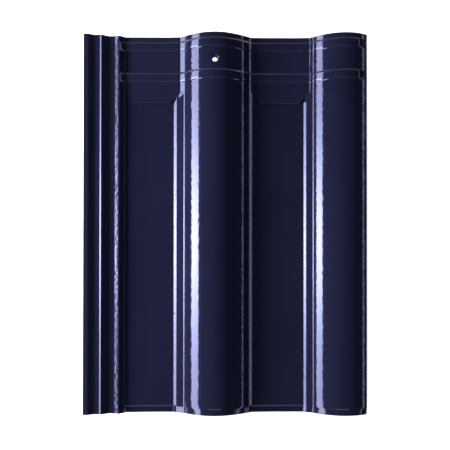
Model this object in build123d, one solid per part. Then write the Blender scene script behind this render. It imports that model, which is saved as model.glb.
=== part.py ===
from build123d import *
from math import cos, radians, sin, sqrt, tan
import os

# Glazed interlocking roof tile with two rolls and two pans, pressed and fired in one piece.
# Millimetres, +X across the tile to its cover edge, +Y up the roof to the head, +Z out of the roof.

# Overall
tile_length = 400.0
tile_width = 298.0
side_lap = 23.4             # width that the neighbour's cover roll covers
cover_edge = 23.4           # last roll centre to the right edge
pan_wall = 9.5
foot_depth = 8.5            # batten nibs and tail skirt below the underside of the pans

# Roll section, heights above the pan
roll_rise = 22.0
roll_wall = 8.5             # wall of the middle roll
cover_wall = 6.2            # wall of the cover roll
seat_wall = 4.6             # its wall over the neighbour's lock, which it is relieved for
seat_slope = 5.0            # slope on its left side where the relief begins
crown_radius = 35.0
crown_angle = 27.9          # slope where the crown runs into the flank
flank_radius = 65.0
flank_angle = 45.6          # slope at the foot of the flank
ledge_width = 7.7
ledge_fall = 3.3
step_angle = 34.9           # slope of the small step from the ledge to the pan
dish_rise = 2.0             # the pan is dished up towards the roll on its left
dish_width = 24.0
dish_round = 90.0
pan_1_round = 9.0           # hollow rounding where each pan meets what stands on its left
pan_2_round = 6.0
step_round = 1.8
flank_round = 7.0           # between a ledge and its flank
hollow_round = 5.0          # feet of the hollows below the rolls
edge_round = 4.5            # top of the right edge
lip_round = 1.0

# Side lock along the left edge, distances from that edge
lock_gap = 0.4              # clearance of the rib below the neighbour's cover roll
rim_gap = 3.2               # clearance of the rim below it
rim_width = 4.3
groove_at = 11.0
groove_width = 3.6
rib_at = 18.4
rib_rise = 1.5              # above the groove
channel_at = 24.5
channel_width = 6.0
channel_floor = 5.8         # above the pan
stop_at = 35.0
stop_width = 1.2
stop_rise = 7.9             # above the pan
stop_angle = 42.0
lip_floor = 9.9             # underside of the cover lip, above the pan
lip_width = 3.0
lip_run = 2.2               # width of its sloped inner side
lock_wall = 7.0             # below the groove and the channel
rim_wall = 8.0
rim_round = 1.0
lock_rounds = (5.0, 4.0, 2.0, 0.8, 2.0, 6.0, 0.7, 0.7)   # corners of the lock from the rim on

# Head lock, distances from the head edge
bar_width = 9.7
bar_rise = 1.5
bar_slope = 1.4             # run of each sloped side
head_bar_at = 5.0
second_bar_at = 38.0
plateau_rise = 2.0
plateau_length = 70.0
plateau_square = 57.0       # length over which its sides are straight
plateau_in = 3.0            # right end of its lower edge, left of the step
plateau_draft = 50.0
shoulder_in = 6.2           # its right side, left of the foot of the roll
nail_at = 28.0
nail_diameter = 6.2
nail_sink = 1.0

# Tail nose
nose_length = 7.4
nose_fall = 2.5
skirt_wall = 10.0
skirt_room = 4.0            # between the skirt and the neighbour's lock

# Batten nibs
nib_width = 34.0
nib_wall = 15.0
nib_at = 28.0               # bearing face, from the head edge
nib_draft = 3.0

head = tile_length / 2
left = -tile_width / 2
right = tile_width / 2
cover_width = tile_width - side_lap
roll_pitch = cover_width / 2
roll_2 = right - cover_edge
roll_1 = roll_2 - roll_pitch
pan_top = foot_depth + pan_wall


def roll_point(slope, wall):
    # Offset from the roll centre and height above the pan, where the surface has this slope
    inner = crown_radius - wall
    if slope <= crown_angle:
        across = inner * sin(radians(slope))
        fall = inner * (1 - cos(radians(slope)))
    else:
        flank = flank_radius - wall
        across = inner * sin(radians(crown_angle))
        across += flank * (sin(radians(slope)) - sin(radians(crown_angle)))
        fall = inner * (1 - cos(radians(crown_angle)))
        fall += flank * (cos(radians(crown_angle)) - cos(radians(slope)))
    return across, roll_rise - wall - fall


def roll_slope(across, wall):
    # Slope of the roll at this distance from its centre
    inner = crown_radius - wall
    join = inner * sin(radians(crown_angle))
    if across <= join:
        s = across / inner
    else:
        s = sin(radians(crown_angle)) + (across - join) / (flank_radius - wall)
    return atan_from_sine(s)


def atan_from_sine(s):
    return Vector(1, 0).get_angle(Vector(sqrt(1 - s * s), s))


def roll_height(across, wall):
    return roll_point(roll_slope(across, wall), wall)[1]


flank_across, ledge_top = roll_point(flank_angle, 0)
step_fall = ledge_top - ledge_fall
step_run = step_fall / tan(radians(step_angle))
foot_across = flank_across + (ledge_top - dish_rise) / tan(radians(flank_angle))
stop_foot = stop_at + stop_width + (stop_rise - dish_rise) / tan(radians(stop_angle))

rim_across = abs(left + cover_width + rim_width / 2 - roll_2)
rim_top = roll_height(rim_across, seat_wall) - rim_gap
rib_across = left + cover_width + rib_at - roll_2
rib_top = roll_height(rib_across, seat_wall) - lock_gap
groove_floor = rib_top - rib_rise


def roll_arcs(centre, wall, from_slope, to_slope):
    # Edges of a roll from left to right between two slopes, rising side negative
    marks = [from_slope]
    marks += [m for m in (-crown_angle, crown_angle) if from_slope < m < to_slope]
    marks += [to_slope]
    edges = []
    for a, b in zip(marks, marks[1:]):
        pts = []
        for slope in (a, (a + b) / 2, b):
            across, height = roll_point(abs(slope), wall)
            side = -1 if slope < 0 else 1
            pts.append((centre + side * across, height))
        edges.append(Edge.make_three_point_arc(*pts))
    return edges


def path(points):
    return [Edge.make_line(a, b) for a, b in zip(points, points[1:]) if a != b]


def lock_points():
    return [
        (left, rim_top),
        (left + rim_width, rim_top),
        (left + groove_at, groove_floor),
        (left + groove_at + groove_width, groove_floor),
        (left + rib_at, rib_top),
        (left + channel_at, channel_floor),
        (left + channel_at + channel_width, channel_floor),
        (left + stop_at, stop_rise),
        (left + stop_at + stop_width, stop_rise),
    ]


def rise_points(centre):
    # Pan edge, ledge and foot of a roll's left flank
    ledge_start = centre - flank_across - ledge_width
    return [
        (ledge_start - step_run, 0),
        (ledge_start, step_fall),
        (centre - flank_across, ledge_top),
    ]


pan_1_foot = (left + stop_foot, dish_rise)
pan_2_foot = (roll_1 + foot_across, dish_rise)
pan_1_flat = (pan_1_foot[0] + dish_width, 0)
pan_2_flat = (pan_2_foot[0] + dish_width, 0)
edge_slope = roll_slope(cover_edge, 0)


def face_edges(start, end_slope):
    # Glazed face from the given points on the left to this slope of the last roll
    edges = path(start + [pan_1_foot, pan_1_flat] + rise_points(roll_1))
    edges += roll_arcs(roll_1, 0, -flank_angle, flank_angle)
    down = (roll_1 + flank_across, ledge_top)
    edges += path([down, pan_2_foot, pan_2_flat] + rise_points(roll_2))
    edges += roll_arcs(roll_2, 0, -flank_angle, end_slope)
    return edges


def lowered(edges, amount):
    return [e.moved(Location((0, -amount, 0))) for e in edges]


def room_at(face, corner):
    # Largest rounding that the shorter side of a corner leaves room for
    sides = face.edges().sort_by(lambda e: e.distance_to(corner))[:2]
    ways = []
    for side in sides:
        at_start = (side @ 0 - corner.center()).length < (side @ 1 - corner.center()).length
        ways.append(side % 0 if at_start else -(side % 1))
    turn = 180 - ways[0].get_angle(ways[1])
    return 0.9 * min(side.length for side in sides) / tan(radians(turn / 2))


def rounded(face, corners):
    for x, y, radius in corners:
        near = face.vertices().sort_by_distance((x, y, 0))[0]
        face = face.fillet_2d(min(radius, room_at(face, near)), [near])
    return face


def face_corners():
    out = [(*pan_1_foot, pan_1_round), (*pan_2_foot, pan_2_round)]
    out += [(*pan_1_flat, dish_round), (*pan_2_flat, dish_round)]
    for centre in (roll_1, roll_2):
        foot, edge, top = rise_points(centre)
        out += [(*foot, step_round), (*edge, step_round), (*top, flank_round)]
    return out


def tile_section():
    top = face_edges(lock_points(), edge_slope)
    under_left = [
        (left, rim_top - rim_wall),
        (left + groove_at + groove_width / 2, groove_floor - lock_wall),
        (left + channel_at + channel_width / 2, channel_floor - lock_wall),
        (left + stop_at, channel_floor - lock_wall - lock_gap),
        (left + stop_foot, -pan_wall),
    ]
    # Hollow of the middle roll
    across, height = roll_point(flank_angle, roll_wall)
    spread = across + (height + pan_wall) / tan(radians(flank_angle))
    hollow_1 = path([(roll_1 - spread, -pan_wall), (roll_1 - across, height)])
    hollow_1 += roll_arcs(roll_1, roll_wall, -flank_angle, flank_angle)
    hollow_1 += path([(roll_1 + across, height), (roll_1 + spread, -pan_wall)])
    # Hollow of the cover roll, relieved for the neighbour's lock and closed on the right by its lip
    across_2, height_2 = roll_point(flank_angle, cover_wall)
    spread_2 = across_2 + (height_2 + pan_wall) / tan(radians(flank_angle))
    lip_slope = roll_slope(cover_edge - lip_width - lip_run, seat_wall)
    lip_across, lip_top = roll_point(lip_slope, seat_wall)
    hollow_2 = path([(roll_2 - spread_2, -pan_wall), (roll_2 - across_2, height_2)])
    hollow_2 += roll_arcs(roll_2, cover_wall, -flank_angle, -seat_slope)
    seat = roll_arcs(roll_2, seat_wall, -seat_slope, lip_slope)
    hollow_2 += [Edge.make_line(hollow_2[-1] @ 1, seat[0] @ 0)] + seat
    lip = [(roll_2 + lip_across, lip_top), (right - lip_width, lip_floor), (right, lip_floor)]
    hollow_2 += path(lip)
    edges = top + path([(left, rim_top)] + under_left + [(roll_1 - spread, -pan_wall)])
    edges += hollow_1 + path([(roll_1 + spread, -pan_wall), (roll_2 - spread_2, -pan_wall)])
    edges += hollow_2 + path([(right, lip_floor), (right, roll_height(cover_edge, 0))])
    face = Face(Wire(edges))
    lock = lock_points()
    corners = face_corners() + [(*lock[0], rim_round)]
    corners += [(*point, radius) for point, radius in zip(lock[1:], lock_rounds)]
    corners += [
        (right, roll_height(cover_edge, 0), edge_round),
        (right, lip_floor, lip_round),
        (right - lip_width, lip_floor, lip_round),
        (roll_1 - spread, -pan_wall, hollow_round),
        (roll_1 + spread, -pan_wall, hollow_round),
        (roll_2 - spread_2, -pan_wall, hollow_round),
        (*under_left[0], rim_round),
        (*under_left[-1], hollow_round),
    ]
    return rounded(face, corners)


def face_band(start, end_slope, depth, thickness):
    # Strip of the glazed face, from depth below it to a further thickness down
    top = face_edges(start, end_slope)
    upper = lowered(top, depth)
    lower = lowered(top, depth + thickness)
    a = Vector(*start[0])
    b = top[-1] @ 1
    down = Vector(0, -depth)
    further = Vector(0, -depth - thickness)
    sides = [Edge.make_line(a + down, a + further), Edge.make_line(b + down, b + further)]
    return Face(Wire(upper + lower + sides))


def carried(face, y_from, y_to, rise_from=0.0, rise_to=0.0):
    # The section carried along the tile, sinking or rising evenly on the way
    placed = Location((0, y_from, pan_top + rise_from)) * (Plane.XZ * face)
    travel = Vector(0, y_to - y_from, rise_to - rise_from)
    return extrude(placed, travel.length, dir=travel)


def cut_at(face, x, keep_right):
    # The part of a section to one side of a line
    wide = tile_width * 2
    centre = x + wide / 2 if keep_right else x - wide / 2
    return (face & Rectangle(wide, wide).moved(Location((centre, 0, 0)))).faces()[0]


def bar_band(depth):
    # Strip that a head bar is carried from: level over the plateaus, following the rolls,
    # to the end of the last crown
    edges = []
    start = pan_1_foot[0] - 4.0
    for centre, end_slope in ((roll_1, flank_angle), (roll_2, crown_angle)):
        shoulder = centre - flank_across - shoulder_in
        foot = (centre - flank_across, ledge_top)
        edges += path([(start, plateau_rise), (shoulder, plateau_rise), foot])
        edges += roll_arcs(centre, 0, -flank_angle, end_slope)
        if end_slope == flank_angle:
            run = (ledge_top - plateau_rise) / tan(radians(flank_angle))
            start = centre + flank_across + run
            edges += path([(centre + flank_across, ledge_top), (start, plateau_rise)])
    lower = lowered(edges, depth)
    sides = [Edge.make_line(edges[0] @ 0, lower[0] @ 0), Edge.make_line(edges[-1] @ 1, lower[-1] @ 1)]
    return Face(Wire(edges + lower + sides))


def head_bar(at):
    face = bar_band(4.0)
    y = head - at
    sunk = -0.15
    rise = carried(face, y, y - bar_slope, sunk, bar_rise)
    top = carried(face, y - bar_slope, y - bar_width + bar_slope, bar_rise, bar_rise)
    fall = carried(face, y - bar_width + bar_slope, y - bar_width, bar_rise, sunk)
    return rise + top + fall


def plateau(left_head, left_tail, centre):
    # Raised floor of the pan under the head lap, narrower at its lower end
    shoulder = centre - flank_across - shoulder_in
    inner = centre - flank_across - ledge_width - step_run - plateau_in
    square = head - plateau_square
    end = head - plateau_length
    pts = [(left_head, head), (shoulder, head), (shoulder, square), (inner, end), (left_tail, end)]
    pts += [(left_head + 1.5, square)]
    floor = Face(Wire.make_polygon([Vector(x, y, pan_top + plateau_rise) for x, y in pts]))
    raised = extrude(floor, plateau_rise + 1.0, dir=(0, 0, -1), taper=-plateau_draft)
    within = Location((0, 0, pan_top)) * Box(tile_width * 2, tile_length, 4 * pan_wall)
    return raised & within


def widening(centre):
    # The step to the ledge stands back along the plateau
    shoulder = centre - flank_across - shoulder_in
    step = centre - flank_across - ledge_width - step_run
    square = head - plateau_square
    end = head - plateau_length
    pts = [(step - 2, head + 5), (shoulder, head + 5), (shoulder, square), (step - 0.5, end), (step - 2, end)]
    floor = Face(Wire.make_polygon([Vector(x, y, pan_top + plateau_rise) for x, y in pts]))
    return extrude(floor, ledge_top - plateau_rise + 0.5, dir=(0, 0, 1), taper=step_angle - 90)


def nib(x):
    back = head - nib_at
    pts = [
        (back, pan_top - pan_wall + 2),
        (back, 0),
        (back + nib_wall - nib_draft, 0),
        (back + nib_wall, pan_top - pan_wall + 2),
    ]
    side = Face(Wire.make_polygon([Vector(x - nib_width / 2, y, z) for y, z in pts]))
    block = extrude(side, nib_width, dir=(1, 0, 0))
    low = block.edges().filter_by(Axis.X).group_by(Axis.Z)[0]
    ends = block.edges().filter_by(GeomType.LINE).filter_by(lambda e: abs(e.tangent_at(0.5).X) < 0.1)
    ends = ends.filter_by(lambda e: abs(e.tangent_at(0.5).Z) > 0.5)
    return fillet(low + ends, 1.5)


def roof_tile():
    section = tile_section()
    tail = -head
    nose = tail + nose_length
    split_at = pan_1_foot[0]
    body = carried(section, head, nose)
    body += carried(cut_at(section, split_at, True), nose, tail, 0.0, -nose_fall)
    body += carried(cut_at(section, split_at, False), nose, tail)
    # Turned-down tail, open on the right for the neighbour's lock
    lock_edge = left + cover_width - skirt_room
    skirt = face_band(lock_points(), edge_slope, 5.0, pan_wall + foot_depth - 5.0)
    body += carried(cut_at(skirt, lock_edge, False), tail + skirt_wall, tail)
    for centre in (roll_1, roll_2):
        body -= widening(centre)
    body += plateau(pan_1_foot[0] - 2.0, pan_1_foot[0] + 8.0, roll_1)
    body += plateau(pan_2_foot[0] - 0.5, pan_2_foot[0] + 15.0, roll_2)
    for at in (head_bar_at, second_bar_at):
        body += head_bar(at)
    pan_1 = (pan_1_foot[0] + rise_points(roll_1)[0][0]) / 2
    pan_2 = (pan_2_foot[0] + rise_points(roll_2)[0][0]) / 2
    for x in (pan_1, pan_2):
        body += nib(x)
    crown = pan_top + roll_rise
    hole = Location((roll_1, head - nail_at, crown - 10)) * Cylinder(nail_diameter / 2, 30)
    sink_top = nail_diameter / 2 + nail_sink + 1.0
    sink = Location((roll_1, head - nail_at, crown)) * Cone(
        nail_diameter / 2, sink_top, nail_sink + 1.0, align=(Align.CENTER, Align.CENTER, Align.MIN)
    )
    body -= hole
    body -= Location((0, 0, -nail_sink)) * sink
    return body


os.makedirs("parts", exist_ok=True)
tile = roof_tile()
solids = tile.solids()
print("solids", len(solids), "volume", tile.volume, "valid", tile.is_valid)
print("box", tile.bounding_box())
export_step(solids[0], "parts/roof_tile.step")
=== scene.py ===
import bpy
import numpy as np
from math import pi, radians, sin, cos, tan
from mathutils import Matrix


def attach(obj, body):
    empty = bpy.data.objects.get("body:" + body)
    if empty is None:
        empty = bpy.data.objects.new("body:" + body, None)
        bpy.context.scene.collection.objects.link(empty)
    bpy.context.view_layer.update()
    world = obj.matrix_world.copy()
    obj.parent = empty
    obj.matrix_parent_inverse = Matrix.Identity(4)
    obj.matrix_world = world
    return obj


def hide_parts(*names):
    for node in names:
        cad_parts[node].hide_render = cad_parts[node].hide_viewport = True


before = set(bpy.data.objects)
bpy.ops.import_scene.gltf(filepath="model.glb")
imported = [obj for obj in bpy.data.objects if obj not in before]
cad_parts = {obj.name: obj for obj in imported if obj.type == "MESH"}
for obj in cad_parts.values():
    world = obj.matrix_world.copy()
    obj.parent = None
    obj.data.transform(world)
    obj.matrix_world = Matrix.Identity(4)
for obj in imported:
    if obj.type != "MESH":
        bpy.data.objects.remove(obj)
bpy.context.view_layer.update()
print("frame loaded")

mm = 0.001


# Node trees: sums on sockets are written as Python sums

class Wire:                                          # one output socket
    def __init__(self, bench, socket):
        self.bench = bench
        self.socket = socket

    def sum(self, operation, a, b):
        return self.bench.node("ShaderNodeMath", {"operation": operation}, {0: a, 1: b})

    def __add__(self, other):
        return self.sum("ADD", self, other)

    __radd__ = __add__

    def __sub__(self, other):
        return self.sum("SUBTRACT", self, other)

    def __rsub__(self, other):
        return self.sum("SUBTRACT", other, self)

    def __mul__(self, other):
        return self.sum("MULTIPLY", self, other)

    __rmul__ = __mul__

    def upTo(self, other):                           # the larger of two values
        return self.sum("MAXIMUM", self, other)


class Bench:                                         # the nodes of one material, light or world
    def __init__(self, owner):
        owner.use_nodes = True
        self.tree = owner.node_tree
        self.tree.nodes.clear()

    def node(self, kind, settings, inputs, out=0):
        made = self.tree.nodes.new(kind)
        for name, value in settings.items():
            setattr(made, name, value)
        for name, value in inputs.items():
            if isinstance(value, Wire):
                self.tree.links.new(value.socket, made.inputs[name])
            else:
                made.inputs[name].default_value = value
        return Wire(self, made.outputs[out] if len(made.outputs) else None)

    def blend(self, share, a, b):                    # colour a to colour b
        return self.node("ShaderNodeMix", {"data_type": "RGBA"}, {0: share, 6: a, 7: b}, 2)

    def ramp(self, value, low, high):                # 0 below low, 1 above high, smooth between
        return self.node("ShaderNodeMapRange", {"interpolation_type": "SMOOTHSTEP"},
                         {"Value": value, "From Min": low, "From Max": high})


# The tile: a section carried from head to tail, millimetres, heights above the pan

tile = {
    "length": 400.0, "width": 298.0, "panTop": 18.0,
    "rolls": (-11.7, 125.6), "rollRise": 22.0, "coverEdge": 23.4,
    "crownRadius": 35.0, "crownAngle": 27.9, "flankRadius": 65.0, "flankAngle": 45.6,
    "ledgeWidths": (8.5, 7.4), "ledgeIn": (0.4, -0.6), "footDip": 0.2,
    "stepFall": 2.1, "stepAngles": (33.9, 35.5),
    "dishRise": (2.0, 1.55), "dishWidth": (24.0, 20.3),
    "backArcs": ((127.6, 34.3), (40.0, 41.5)),       # radius and last slope, right of the middle crown
    "backStep": (36.4, 4.13), "backFoot": 40.0, "backRound": 2.0,
    "panRounds": (3.5, 1.5), "dishRound": 90.0, "stepRound": 1.6, "flankRound": 6.0,
    "edgeRound": 4.5, "edgeWalls": (4.0, 4.6), "wallLean": 0.02, "endRound": 0.6,
}

grid = {                                             # how close the lines of the mesh lie
    "rollStep": 1.8, "firstStep": 1.4, "flankStart": 2.0, "edgeStop": 4.5, "backSteps": 9,
    "hollowSteps": 28, "seatSteps": 20, "arcSteps": 5, "stub": 0.05, "twin": 0.05, "closest": 0.02,
    "panGap": 2.0, "panStart": 1.2, "ledgeColumns": 11, "ledgeEnds": (0.4, 0.3),
    "backColumns": (33.3, 34.4, 35.5, 37.2, 38.1, 39.0),
    "endRows": 6, "headSide": (-0.2, 0, 0.15, 0.5, 0.85, 1, 1.1), "tailSide": (0.12, 0.15),
    "slantRows": (3.0, 1.0, 14), "plateauRows": (0.4, -1.7, 15), "plateauFoot": (-2.5, -3.6),
    "panRows": (-8.0, 6.0, 7), "noseStart": (2.0, 0.4), "creaseRows": (0.05, -2.5, 11), "noseRows": (-2.8, 0.5, 4),
}

lock = {                                             # side lock, distances from the left edge
    "across": (-0.5, 3.9, 10.6, 15.5, 17.95, 24.5, 30.5, 35.0, 36.2),
    "height": (13.9, 13.9, 9.95, 10.05, 11.15, 5.8, 5.8, 7.67, 7.67),
    "rounds": (0.4, 5.0, 4.0, 4.0, 0.8, 2.0, 6.0, 0.7, 0.7),
    "stopFoot": 42.0,
}

headLock = {                                         # distances from the head edge
    "barAt": (5.0, 38.0), "barWidth": 10.6, "barRise": 1.1, "barHead": 1.9, "barTail": (0.9, 2.6), "barBreak": 0.64,
    "barStart": (4.0, 1.0), "barEnd": 142.0, "barFade": (1.5, 5.0),
    "plateauRise": 2.0, "plateauLength": 70.0, "plateauSquare": 57.0, "plateauSlope": 58.0, "plateauCrease": 0.25,
    "turnUp": 0.7, "turnWidth": 16.0, "shoulderIn": 4.9, "innerIn": 3.0,
    "bendPast": 1.0, "bendCrease": 0.15, "bendEnds": (3.0, 0.8), "bendSlope": 6.0,
    "leftHead": (-108.25, 24.1), "leftTail": (-98.25, 39.6), "leftFlare": 1.5, "beyond": 40.0,
}

nail = {
    "at": (-11.7, 172.0), "radius": 3.1, "sink": 1.0, "patch": 7.0, "rows": 7,
    "wide": (0.4, 0.75, 1.0), "narrow": (0.78, 0.5, 0.2, 0.0),            # rings in to the sunk edge, rings down it
    "sunk": (0, 0, 0.03, 0.16, 0.42, 0.8, 1.3), "lift": (0, 0, 0, 0, 0.05, 0.2, 0.6),
    # painted shade: how near black each ring down the nail bore is painted
    "dark": (0, 0, 0, 0, 0.3, 1, 1),
}

nose = {
    "length": 8.8, "fall": 2.74, "crease": 0.32, "fade": 0.8,
    "skirtWall": 10.0, "skirtEnd": 121.6, "skirtDepth": 18.0,
}

under = {
    "panWall": 9.5, "rollWall": 8.5, "coverWall": 6.2, "seatWall": 4.6, "seatSlope": 5.0, "seatGap": 0.02,
    "rimWall": 8.0, "lockWall": 7.0, "lockAt": (12.8, 27.5, 35.0), "lockStep": 0.4, "thinnest": 2.0,
    "lipFloor": 9.9, "lipWidth": 3.0, "lipRun": 2.2, "hollowRound": 5.0,
    "nibAt": (-80.9, 53.2), "nibWidth": 34.0, "nibFace": 172.0, "nibWall": 15.0, "nibDraft": 3.0,
}

headY = tile["length"] / 2
leftX = -tile["width"] / 2
rightX = tile["width"] / 2


def rollCurve(slope, wall=0.0):
    # crown circle up to crownAngle, then the flank's larger circle tangent to it:
    # across = R sin(slope), fall = R (1 - cos(slope)), both circles smaller by the wall below
    a = np.radians(np.abs(slope))
    c = radians(tile["crownAngle"])
    crown, flank = tile["crownRadius"] - wall, tile["flankRadius"] - wall
    inner, outer = np.minimum(a, c), np.maximum(a, c)
    across = crown * np.sin(inner) + flank * (np.sin(outer) - sin(c))
    fall = crown * (1 - np.cos(inner)) + flank * (cos(c) - np.cos(outer))
    return np.sign(slope) * across, tile["rollRise"] - wall - fall


def rollSlope(across, wall=0.0):
    # the slope whose crown or flank circle reaches this far from the roll's centre
    c = radians(tile["crownAngle"])
    crown, flank = tile["crownRadius"] - wall, tile["flankRadius"] - wall
    join = crown * sin(c)
    s = across / crown if across < join else sin(c) + (across - join) / flank
    return float(np.degrees(np.arcsin(s)))


def roundedPath(points, rounds):
    # each corner becomes an arc tangent to both sides, starting r tan(turn / 2) before it:
    # along the arc the heading turns evenly, x = r sin(heading), z = -r cos(heading);
    # a short stub at both ends keeps the shading of the straight sides flat
    p = np.array(points, float)
    r = np.array(rounds, float)[1:-1]
    side = np.diff(p, axis=0)
    side /= np.linalg.norm(side, axis=1)[:, None]
    heading = np.arctan2(side[:, 1], side[:, 0])
    turn = (np.diff(heading) + pi) % (2 * pi) - pi
    start = p[1:-1] - side[:-1] * (r * np.tan(np.abs(turn) / 2))[:, None]
    way = heading[:-1, None] + turn[:, None] * np.linspace(0, 1, grid["arcSteps"])
    bend = (r * np.sign(turn))[:, None]
    x = start[:, :1] + bend * (np.sin(way) - np.sin(way[:, :1]))
    z = start[:, 1:] - bend * (np.cos(way) - np.cos(way[:, :1]))
    arcs = np.stack([x, z], 2)
    stub = np.where(r > 0, grid["stub"], 0.0)[:, None]
    before, after = start - side[:-1] * stub, arcs[:, -1] + side[1:] * stub
    arcs = np.concatenate([before[:, None], arcs, after[:, None]], 1).reshape(-1, 2)
    path = np.vstack([p[:1], arcs, p[-1:]])
    far = np.linalg.norm(np.diff(path, axis=0), axis=1) > 1e-3
    return path[np.concatenate([[True], far])]


flankAcross, ledgeTop = (float(v) for v in rollCurve(np.array(tile["flankAngle"])))
ledgeTop -= tile["footDip"]
panFeet = (leftX + lock["stopFoot"], tile["rolls"][0] + tile["backFoot"])
panFlats = tuple(foot + width for foot, width in zip(panFeet, tile["dishWidth"]))


def ledgeStart(n):
    return tile["rolls"][n] - flankAcross - tile["ledgeWidths"][n]


def ledgeEnd(n):
    return tile["rolls"][n] - flankAcross + tile["ledgeIn"][n]


def backCurve():
    # right of the middle crown the flank eases off: arcs joined tangentially, each going
    # R (sin(slope) - sin(start)) further across and R (cos(start) - cos(slope)) down
    start = tile["crownAngle"]
    across, height = rollCurve(np.append(np.arange(grid["firstStep"], start - 1, grid["rollStep"]), start))
    for radius, end in tile["backArcs"]:
        turn = np.radians(np.linspace(start, end, grid["backSteps"]))
        across = np.append(across, across[-1] + radius * (np.sin(turn[1:]) - np.sin(turn[0])))
        height = np.append(height, height[-1] - radius * (np.cos(turn[0]) - np.cos(turn[1:])))
        start = end
    return across, height


stepFeet = tuple(ledgeStart(n) - tile["stepFall"] / tan(radians(slope))
                 for n, slope in enumerate(tile["stepAngles"]))


def glazedSection():
    # from the left edge over lock, pan, ledge and roll to the right edge, as (x, height) pairs
    points = [(leftX + lock["across"][0] - tile["wallLean"], lock["height"][0] - tile["edgeWalls"][0])]
    points += [(leftX + a, h) for a, h in zip(lock["across"], lock["height"])]
    rounds = [0.0, *lock["rounds"]]
    rising = np.arange(grid["flankStart"] - tile["flankAngle"], 0, grid["rollStep"])
    for n, centre in enumerate(tile["rolls"]):
        points += [(panFeet[n], tile["dishRise"][n]), (panFlats[n], 0.0), (stepFeet[n], 0.0),
                   (ledgeStart(n), tile["stepFall"]),
                   (ledgeEnd(n), ledgeTop + tile["ledgeIn"][n] * tan(radians(tile["flankAngle"])))]
        rounds += [tile["panRounds"][n], tile["dishRound"],
                   tile["stepRound"], tile["stepRound"], tile["flankRound"]]
        across, height = rollCurve(rising)
        points += list(zip(centre + across, height))
        if n == 0:
            across, height = backCurve()
            points += [*zip(centre + across, height), (centre + tile["backStep"][0], tile["backStep"][1])]
            rounds += [0.0] * (len(rising) + len(across)) + [tile["backRound"]]
        else:
            edge = rollSlope(tile["coverEdge"])
            slopes = np.arange(grid["firstStep"], edge - grid["edgeStop"], grid["rollStep"])
            across, height = rollCurve(np.append(slopes, edge))
            points += [*zip(centre + across, height),
                       (rightX + tile["wallLean"], height[-1] - tile["edgeWalls"][1])]
            rounds += [0.0] * (len(rising) + len(across) - 1) + [tile["edgeRound"], 0.0]
    return roundedPath(points, rounds)


def underSection():
    # below the lock, the pans and the two hollow rolls, ending in the lip of the cover roll
    w = under["panWall"]
    gap = under["lockWall"]
    height = lock["height"]
    lows = (height[2] - gap, height[5] - gap, height[5] - gap - under["lockStep"])
    points = [(leftX + lock["across"][0], height[0] - under["rimWall"])]
    points += [(leftX + a, h) for a, h in zip(under["lockAt"], lows)] + [(panFeet[0], -w)]
    rounds = [0.0, 0.0, 0.0, 0.0, under["hollowRound"]]
    for centre, wall, end in zip(tile["rolls"], (under["rollWall"], under["coverWall"]),
                                 (tile["flankAngle"], -under["seatSlope"])):
        slopes = np.linspace(-tile["flankAngle"], end, grid["hollowSteps"])
        across, rise = rollCurve(slopes, wall)
        spread = -across[0] + (rise[0] + w) / tan(radians(tile["flankAngle"]))
        points += [(centre - spread, -w), *zip(centre + across, rise)]
        rounds += [under["hollowRound"], *np.zeros(len(slopes))]
        if centre == tile["rolls"][0]:
            points += [(centre + spread, -w)]
            rounds += [under["hollowRound"]]
    lipSlope = rollSlope(tile["coverEdge"] - under["lipWidth"] - under["lipRun"], under["seatWall"])
    seat, rise = rollCurve(np.linspace(-under["seatSlope"], lipSlope, grid["seatSteps"]), under["seatWall"])
    points += [*zip(tile["rolls"][1] + np.maximum(seat, across[-1] + under["seatGap"]), rise)]
    points += [(rightX - under["lipWidth"], under["lipFloor"]), (rightX, under["lipFloor"])]
    rounds += [0.0] * (len(seat) + 2)
    return roundedPath(points, rounds)


def softMax(a, b, reach):
    # the larger of two heights, with the crease between them rounded over this reach
    share = np.clip(0.5 + 0.5 * (a - b) / reach, 0, 1)
    return b + (a - b) * share + reach * share * (1 - share) / 2


def softMin(a, b, reach):
    return -softMax(-a, -b, reach)


def easeStep(value, low, high):
    t = np.clip((value - low) / (high - low), 0, 1)
    return t * t * (3 - 2 * t)


def outside(x, y, corners):
    # distance outside a convex outline: the largest signed distance to the lines of its sides
    far = np.full(np.broadcast(x, y).shape, -1e3)
    for (ax, ay), (bx, by) in zip(corners, corners[1:] + corners[:1]):
        nx, ny = by - ay, ax - bx
        size = (nx * nx + ny * ny) ** 0.5
        far = np.maximum(far, ((x - ax) * nx + (y - ay) * ny) / size)
    return far


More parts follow.
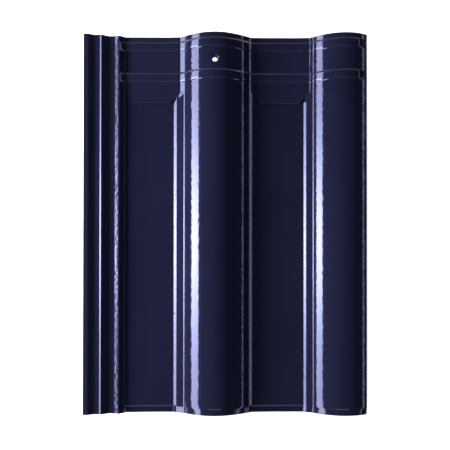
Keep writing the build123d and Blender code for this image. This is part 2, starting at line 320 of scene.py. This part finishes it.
def headForms(x, y, z):
    # pan floors raised to a plateau that turns up towards its roll, the step to the ledge set back
    # beside it in a smooth bend, and two bars across: one slope on the head side, two on the tail side
    steep = [tan(radians(a)) for a in tile["stepAngles"]]
    square = headY - headLock["plateauSquare"]
    end = headY - headLock["plateauLength"]
    beyond = headY + headLock["beyond"]
    early, late = headLock["bendEnds"]
    for n, centre in enumerate(tile["rolls"]):
        shoulder = centre - flankAcross - headLock["shoulderIn"]
        turned = easeStep(x, shoulder - headLock["turnWidth"], shoulder)
        rise = headLock["plateauRise"] + headLock["turnUp"] * turned
        onStep = stepFeet[n] + headLock["plateauRise"] / steep[n]
        foot = onStep + (shoulder - onStep) * easeStep(y, end - headLock["bendPast"], square)
        cut = rise + steep[n] * np.maximum(x - foot, 0)
        cut = cut + headLock["bendSlope"] * np.maximum(x - (centre - flankAcross + late), 0)
        cut = cut + headLock["bendSlope"] * np.maximum(stepFeet[n] - early - x, 0)
        z = softMin(z, cut, headLock["bendCrease"])
        left, tail = headLock["leftHead"][n], headLock["leftTail"][n]
        outline = [(tail, end), (stepFeet[n] - headLock["innerIn"], end), (shoulder, square),
                   (shoulder, beyond), (left, beyond), (left + headLock["leftFlare"], square)]
        floor = rise - tan(radians(headLock["plateauSlope"])) * np.maximum(outside(x, y, outline), 0)
        z = softMax(z, floor, headLock["plateauCrease"])
    before, after = headLock["barStart"]
    past, ahead = headLock["barFade"]
    ends = -headLock["barEnd"]
    across = easeStep(x, panFeet[0] - before, panFeet[0] + after) * easeStep(-x, ends - past, ends + ahead)
    for at in headLock["barAt"]:
        fromHead = headY - at - y
        fromTail = headLock["barWidth"] - fromHead
        headSide = np.clip(fromHead / headLock["barHead"], 0, 1)
        tailSide = np.interp(fromTail, (0, *headLock["barTail"]), (0, headLock["barBreak"], 1))
        z = z + headLock["barRise"] * across * np.minimum(headSide, tailSide)
    return z


def noseForm(x, y, z):
    # right of the lock the face falls evenly over the last stretch before the tail, after a rounded crease
    run = np.clip((-headY + nose["length"] - y) / nose["length"], 0, 1)
    c = nose["crease"]
    run = np.where(run < c, run * run / (2 * c), run - c / 2)
    return z - nose["fall"] * run * easeStep(x, panFeet[0] - nose["fade"], panFeet[0] + nose["fade"])


def underForms(x, y, z, face):
    # tail turned down by a skirt that follows the face, and two nibs that hook over the batten
    skirt = (y < -headY + nose["skirtWall"]) & (x < nose["skirtEnd"])
    z = np.where(skirt, np.minimum(z, face - nose["skirtDepth"]), z)
    foot = -nose["skirtDepth"]
    for nibX in under["nibAt"]:
        within = (np.abs(x - nibX) < under["nibWidth"] / 2) & (y > under["nibFace"])
        back = under["nibFace"] + under["nibWall"]
        draft = np.clip((y - back) / under["nibDraft"] + 1, 0, 1)
        sloped = foot + (nose["skirtDepth"] - under["panWall"]) * draft
        z = np.where(within & (y < back), np.minimum(z, sloped), z)
    return z


def gridColumns():
    # the section's own points, filled up over pans, ledges and the foot of the middle roll,
    # with twin columns at the sides of the nibs and the end of the skirt
    section = glazedSection()
    near, far = grid["ledgeEnds"]
    twin = np.array([-grid["twin"], grid["twin"]])
    fill = [np.arange(foot + grid["panStart"], step - 1, grid["panGap"]) for foot, step in zip(panFeet, stepFeet)]
    fill += [np.linspace(ledgeStart(n) + near, ledgeEnd(n) - far, grid["ledgeColumns"]) for n in range(2)]
    fill += [tile["rolls"][0] + np.array(grid["backColumns"])]
    fill += [nibX + side * (under["nibWidth"] / 2 + twin) for nibX in under["nibAt"] for side in (-1, 1)]
    extra = np.concatenate([*fill, nose["skirtEnd"] + twin])
    rising = np.maximum.accumulate(section[:, 0] + np.arange(len(section)) * 1e-9)
    extraZ = np.interp(extra, rising, section[:, 1])
    order = np.argsort(np.concatenate([rising, extra]), kind="stable")
    x = np.concatenate([section[:, 0], extra])[order]
    z = np.concatenate([section[:, 1], extraZ])[order]
    return x, z


def spread(first, last, rows):
    # even rows between two places, each moved by its own offset
    return np.linspace(first + rows[0], last + rows[1], rows[2])


def gridRows():
    # from head to tail, close together at every form; the drop rounds both ends, r (1 - cos(turn))
    r = tile["endRound"]
    turn = np.radians(np.linspace(90, 0, grid["endRows"]))
    headEnd, headDrop = headY - r + r * np.sin(turn), r * (1 - np.cos(turn))
    headSide = np.array(grid["headSide"]) * headLock["barHead"]
    (near, far), (steep, soft) = grid["tailSide"], headLock["barTail"]
    breaks = np.array([-far, 0, near, steep - near, steep, steep + near, soft - far, soft, soft + far])
    bars = [headY - at - np.concatenate([headSide, headLock["barWidth"] - breaks]) for at in headLock["barAt"]]
    twin = np.array([-grid["twin"], grid["twin"]])
    nibBack = np.array([under["nibWall"] - under["nibDraft"], under["nibWall"]])
    nibRows = under["nibFace"] + np.append(twin, nibBack)
    nailRows = nail["at"][1] + nail["patch"] * np.linspace(-1, 1, nail["rows"])
    square = headY - headLock["plateauSquare"]
    end = headY - headLock["plateauLength"]
    noseY = -headY + nose["length"]
    rows = np.concatenate([
        *bars, nibRows, nailRows, spread(square, end, grid["slantRows"]), spread(end, end, grid["plateauRows"]),
        end + np.array(grid["plateauFoot"]), spread(end, noseY, grid["panRows"]),
        -headY + nose["skirtWall"] + twin, noseY + np.array(grid["noseStart"]),
        spread(noseY, noseY, grid["creaseRows"]), spread(noseY, -headY + r, grid["noseRows"])])
    rows = -np.sort(-rows)
    rows = rows[np.append(True, -np.diff(rows) > grid["closest"])]        # no two rows in one place
    y = np.concatenate([headEnd, rows, -headEnd[::-1]])
    drop = np.concatenate([headDrop, np.zeros(len(rows)), headDrop[::-1]])
    return y, drop


def quads(a, b, c, d):
    return np.stack([a, b, c, d], -1).reshape(-1, 4)


# the edge pair sets where the colour lightens over convex edges, thin glaze and a painted highlight; the hollow
# pair sets where it darkens in concave creases, painted shade
coat = {"arrisThinGlazeSheen": (0.06, 0.6), "hollow": (0.04, 0.4), "closest": 0.05, "sharpFrom": 50.0}   # bends per millimetre


def curving(height, lines, axis):
    # how fast the slope changes along one direction of the grid: change of (rise / step) / step
    step = np.maximum(np.abs(np.gradient(lines, axis=axis)), coat["closest"])
    return np.gradient(np.gradient(height, axis=axis) / step, axis=axis) / step


def tileMesh():
    # face and underside share one grid, so the edge all round joins each outer point to its twin below
    x, sectionZ = gridColumns()
    y, drop = gridRows()
    columns, rows = len(x), len(y)
    gx, gy = np.meshgrid(x, y)
    face = np.broadcast_to(sectionZ, gx.shape)
    top = noseForm(gx, gy, headForms(gx, gy, face)) - drop[:, None]
    belowLine = underSection()
    low = np.broadcast_to(np.interp(x, belowLine[:, 0], belowLine[:, 1]), gx.shape)
    low = np.minimum(underForms(gx, gy, low, face), top - under["thinnest"])
    index = np.arange(rows * columns).reshape(rows, columns)
    inside = np.abs(gx - nail["at"][0]) + 1e9 * (np.abs(gy - nail["at"][1]) > nail["patch"] + 0.1)
    held = np.argwhere(inside < nail["patch"])
    (j0, i0), (j1, i1) = held.min(0), held.max(0)
    whole = np.ones((rows - 1, columns - 1), bool)
    whole[j0:j1, i0:i1] = False
    upper = quads(index[:-1, :-1], index[1:, :-1], index[1:, 1:], index[:-1, 1:])[whole.ravel()]
    lower = upper[:, ::-1] + rows * columns
    ring = np.concatenate([index[0, :-1], index[:-1, -1], index[-1, :0:-1], index[:0:-1, 0]])
    ringNext = np.roll(ring, -1)
    walls = quads(ring, ringNext, ringNext + rows * columns, ring + rows * columns)

    # nail hole: rings from the gap in the grid to the sunk edge, down the bore and out again below
    hole = np.concatenate([index[j0, i0:i1], index[j0:j1, i1], index[j1, i1:i0:-1], index[j1:j0:-1, i0]])
    hx, hy = gx.ravel()[hole], gy.ravel()[hole]
    away = np.hypot(hx - nail["at"][0], hy - nail["at"][1])
    dx, dy = (hx - nail["at"][0]) / away, (hy - nail["at"][1]) / away
    reach = nail["radius"] + nail["sink"]
    wide = away[None] + (reach - away[None]) * np.array(nail["wide"])[:, None]
    narrow = np.array(nail["narrow"])[:, None] * nail["sink"] + nail["radius"] + 0 * away[None]
    radii = np.vstack([wide, narrow])
    ringX, ringY = nail["at"][0] + radii * dx, nail["at"][1] + radii * dy
    crown = np.interp(ringX, x, sectionZ)
    sunk = np.array(nail["sunk"])[:, None] * nail["sink"]
    boreTop = np.stack([ringX, ringY, crown - sunk], 2)
    hollow = np.interp(ringX, belowLine[:, 0], belowLine[:, 1])
    lift = np.array(nail["lift"])[:, None]
    boreLow = np.stack([ringX, ringY, hollow + lift], 2)[::-1]
    rings = np.concatenate([boreTop, boreLow]).reshape(-1, 3)
    count = len(hole)
    first = 2 * rows * columns + np.arange(len(rings)).reshape(-1, count)
    loops = np.vstack([hole[None], first, hole[None] + rows * columns])
    after = np.roll(loops, -1, axis=1)
    bore = quads(loops[:-1], loops[1:], after[1:], after[:-1])

    layers = [np.stack([gx, gy, layer], 2).reshape(-1, 3) for layer in (top, low)]
    points = (np.vstack([*layers, rings]) + [0, 0, tile["panTop"]]) * mm

    # colour marks from the bend of the face: lighter over convex edges, partly thin glaze and partly a painted
    # highlight; darker in hollows and creases, painted shade
    bend = curving(top, gx, 1) + curving(top, gy, 0)
    (thinGlazeSheenFrom, thinGlazeSheenOver), (shadeFrom, shadeOver) = coat["arrisThinGlazeSheen"], coat["hollow"]
    arrisThinGlazeSheen = np.clip(-bend - thinGlazeSheenFrom, 0, thinGlazeSheenOver) / thinGlazeSheenOver
    paintedHollowShadeMask = np.clip(bend - shadeFrom, 0, shadeOver) / shadeOver
    blank = np.zeros(rows * columns)
    upperBore = np.repeat([1.0, 0.0], len(rings) // 2)
    marks = {
        "glazed": np.concatenate([blank + 1, blank, upperBore]),
        # over convex edges the colour is lightened: partly thin glaze, partly a painted highlight
        "arrisThinGlazeSheen": np.concatenate([arrisThinGlazeSheen.ravel(), blank, 0 * upperBore]),
        # painted shade: how much each point of the face is darkened in a hollow or crease
        "paintedHollowShade": np.concatenate([paintedHollowShadeMask.ravel(), blank, 0 * upperBore]),
        # painted shade: the rings down the nail bore are painted near black
        "bore": np.concatenate([blank, blank, np.repeat(nail["dark"] + nail["dark"][::-1], count)]),
    }
    mesh = bpy.data.meshes.new("glazedTile")
    mesh.from_pydata(points, [], np.vstack([upper, lower, walls, bore]))
    mesh.polygons.foreach_set("use_smooth", np.ones(len(mesh.polygons), bool))
    mesh.set_sharp_from_angle(angle=radians(coat["sharpFrom"]))
    for name, values in marks.items():
        mesh.attributes.new(name, "FLOAT", "POINT").data.foreach_set("value", values.astype(np.float32))
    mesh.update()
    print("tile grid", columns, "x", rows, "faces", len(mesh.polygons))
    return mesh


glaze = {
    "deep": (0.0085, 0.0090, 0.0270, 1), "shallow": (0.0098, 0.0105, 0.0303, 1),
    # next line: the edge colour is thin glaze and a painted highlight, the hollow colour is painted shade, and the
    # near-black bore colour is painted shade in the nail hole
    "arrisThinGlazeSheen": (0.03, 0.031, 0.07, 1), "paintedHollowShade": (0.0066, 0.007, 0.0225, 1), "bore": (0.004, 0.004, 0.008, 1),
    "tint": (0.52, 0.55, 1.0, 1), "ior": 1.5, "roughness": 0.07, "paintedHollowShadeShare": 0.7, "arrisThinGlazeSheenShare": 0.6,
    "cloudScale": 14.0, "cloudDetail": 3.0, "cloudEdges": (0.35, 0.65),
    "peelScale": 360.0, "peelDetail": 1.5, "peel": 0.22, "peelDepth": 0.0003,
    "clay": (0.30, 0.12, 0.055, 1), "clayDark": (0.20, 0.075, 0.035, 1), "clayRoughness": 0.85,
    "gritScale": 700.0, "gritDetail": 4.0, "gritEdges": (0.3, 0.7), "gritBump": 0.5,
    "waver": 0.4, "coverEdges": (0.25, 0.4),         # where glaze ends and bare clay begins
}


def glazeMaterial():
    # navy glaze over fired clay: clouded depth, orange-peel gloss, the colour lightened over convex edges (thin
    # glaze and a painted highlight), darkened in hollows (painted shade) and painted near black down the nail bore
    # (painted shade); bare clay below
    material = bpy.data.materials.new("navyGlaze")
    b = Bench(material)
    place = b.node("ShaderNodeTexCoord", {}, {}, "Object")
    glazed, arrisThinGlazeSheen, paintedHollowShade, bore = [b.node("ShaderNodeAttribute", {"attribute_name": name}, {}, "Fac")
                                   for name in ("glazed", "arrisThinGlazeSheen", "paintedHollowShade", "bore")]
    cloud, peel, grit = [b.node("ShaderNodeTexNoise", {}, {
        "Vector": place, "Scale": glaze[name + "Scale"], "Detail": glaze[name + "Detail"]})
        for name in ("cloud", "peel", "grit")]
    body = b.blend(b.ramp(cloud, *glaze["cloudEdges"]), glaze["deep"], glaze["shallow"])
    # painted shade: the colour darkens in hollows and creases
    body = b.blend(paintedHollowShade * glaze["paintedHollowShadeShare"], body, glaze["paintedHollowShade"])
    # over convex edges the colour lightens: partly thin glaze, partly a painted highlight
    body = b.blend(arrisThinGlazeSheen * glaze["arrisThinGlazeSheenShare"], body, glaze["arrisThinGlazeSheen"])
    clay = b.blend(b.ramp(grit, *glaze["gritEdges"]), glaze["clay"], glaze["clayDark"])
    cover = b.ramp(glazed + (cloud - 0.5) * glaze["waver"], *glaze["coverEdges"])
    # painted shade: the nail bore is painted near black
    colour = b.blend(bore, b.blend(cover, clay, body), glaze["bore"])
    rough = glaze["clayRoughness"] - cover * (1 - bore) * (glaze["clayRoughness"] - glaze["roughness"])
    height = peel * cover + grit * (1 - cover) * glaze["gritBump"]
    bump = b.node("ShaderNodeBump", {}, {
        "Strength": glaze["peel"], "Distance": glaze["peelDepth"], "Height": height})
    surface = b.node("ShaderNodeBsdfPrincipled", {}, {
        "Base Color": colour, "Roughness": rough, "IOR": glaze["ior"],
        "Specular Tint": glaze["tint"], "Normal": bump})
    b.node("ShaderNodeOutputMaterial", {}, {"Surface": surface})
    return material


tilePiece = bpy.data.objects.new("glazedTile", tileMesh())
bpy.context.scene.collection.objects.link(tilePiece)
tilePiece.data.materials.append(glazeMaterial())
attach(tilePiece, "root")
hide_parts("roof_tile")
print("tile made")


# Floor, lights and camera

stage = {"floorSize": 30.0, "floorColour": (0.8, 0.8, 0.8, 1), "floorGlow": 0.96}


def floorMaterial():
    # white paper: plain diffuse for the light, pale as seen directly, in gloss or through glass
    material = bpy.data.materials.new("whitePaper")
    b = Bench(material)
    rays = [b.node("ShaderNodeLightPath", {}, {}, name)
            for name in ("Is Camera Ray", "Is Glossy Ray", "Is Transmission Ray")]
    seen = rays[0].upTo(rays[1]).upTo(rays[2])
    paper = b.node("ShaderNodeBsdfDiffuse", {}, {"Color": stage["floorColour"]})
    glow = b.node("ShaderNodeEmission", {}, {"Strength": stage["floorGlow"] * seen})
    both = b.node("ShaderNodeAddShader", {}, {0: paper, 1: glow})
    b.node("ShaderNodeOutputMaterial", {}, {"Surface": both})
    return material


half = stage["floorSize"] / 2
floorMesh = bpy.data.meshes.new("paperFloor")
corners = [(-half, -half, 0), (half, -half, 0), (half, half, 0), (-half, half, 0)]
floorMesh.from_pydata(corners, [], [(0, 1, 2, 3)])
floorMesh.materials.append(floorMaterial())
floor = bpy.data.objects.new("paperFloor", floorMesh)
bpy.context.scene.collection.objects.link(floor)

strip = {                                            # long softbox on the left, brightest at its middle
    "x": -0.61, "low": 0.190, "high": 0.389, "y": 0.01, "length": 1.7,
    "radiance": 40.0, "ends": 0.335, "bell": 0.175, "colour": (1.0, 1.0, 1.0),
}
lowGlow = {                                          # dim strip far to the right
    "x": 1.2, "low": 0.327, "high": 0.418, "length": 2.4, "radiance": 3.1, "colour": (0.85, 0.85, 1.0),
}
headGlow = {                                         # pale wall beyond the head
    "y": 1.5, "low": 0.05, "high": 0.75, "length": 3.0, "radiance": 0.65, "colour": (1.0, 1.0, 1.0),
}
tailGlow = {                                         # dim panel above the tail end
    "y": -1.09, "z": 1.5, "size": (1.3, 0.5), "radiance": 1.7, "colour": (1.0, 1.0, 1.0),
}


def middle(light):
    return (light["low"] + light["high"]) / 2


def tall(light):
    return light["high"] - light["low"]


def areaLight(name, place, turn, size, radiance, colour):
    # a rectangle of even brightness gives off radiance x pi x area
    data = bpy.data.lights.new(name, "AREA")
    data.shape = "RECTANGLE"
    data.size, data.size_y = size
    data.energy = radiance * pi * size[0] * size[1]
    data.color = colour
    lamp = bpy.data.objects.new(name, data)
    lamp.location = place
    lamp.rotation_euler = [radians(t) for t in turn]
    lamp.visible_camera = False
    bpy.context.scene.collection.objects.link(lamp)
    return data


stripLight = areaLight("leftStrip", (strip["x"], strip["y"], middle(strip)), (0, -90, 0),
                       (tall(strip), strip["length"]), strip["radiance"], strip["colour"])
b = Bench(stripLight)                                # bell along the strip, ends + (1 - ends) exp(-(off / bell)^2)
along = b.node("ShaderNodeSeparateXYZ", {}, {0: b.node("ShaderNodeNewGeometry", {}, {}, "Parametric")}, 1)
off = (along - 0.5) * (strip["length"] / strip["bell"])
bell = b.node("ShaderNodeMath", {"operation": "EXPONENT"}, {0: off * off * -1.0})
level = strip["ends"] + (1 - strip["ends"]) * bell
b.node("ShaderNodeOutputLight", {}, {0: b.node("ShaderNodeEmission", {}, {"Strength": level})})

areaLight("lowGlow", (lowGlow["x"], 0, middle(lowGlow)), (0, 90, 0),
          (tall(lowGlow), lowGlow["length"]), lowGlow["radiance"], lowGlow["colour"])
areaLight("headGlow", (0, headGlow["y"], middle(headGlow)), (-90, 0, 0),
          (headGlow["length"], tall(headGlow)), headGlow["radiance"], headGlow["colour"])
areaLight("tailGlow", (0, tailGlow["y"], tailGlow["z"]), (0, 0, 0),
          tailGlow["size"], tailGlow["radiance"], tailGlow["colour"])

sky = {"dark": 0.03, "bright": 0.12, "rise": (0.12, 0.40), "colour": (0.92, 0.94, 1.0, 1)}   # brighter overhead
world = bpy.data.worlds.new("studio")
bpy.context.scene.world = world
b = Bench(world)
way = b.node("ShaderNodeTexCoord", {}, {}, "Generated")
up = b.node("ShaderNodeSeparateXYZ", {}, {0: way}, 2)
lift = b.ramp(up, *sky["rise"])
b.node("ShaderNodeOutputWorld", {}, {0: b.node("ShaderNodeBackground", {}, {
    "Color": sky["colour"], "Strength": sky["dark"] + (sky["bright"] - sky["dark"]) * lift})})

view = {                                             # fitted to the outline, image 450 x 450
    "place": (-0.00914, -0.04371, 0.75927), "turn": (0.486, -0.647, 0.058),
    "focal": 694.04, "shift": 34.875, "image": 450, "sensor": 36.0,
}
camera = bpy.data.cameras.new("overTile")
camera.sensor_width = view["sensor"]
camera.lens = view["focal"] / view["image"] * camera.sensor_width
camera.shift_y = view["shift"] / view["image"]
cameraPiece = bpy.data.objects.new("overTile", camera)
cameraPiece.location = view["place"]
cameraPiece.rotation_euler = [radians(t) for t in view["turn"]]
bpy.context.scene.collection.objects.link(cameraPiece)
bpy.context.scene.camera = cameraPiece
bpy.context.scene.view_settings.view_transform = "Standard"
print("stage, lights and camera made")
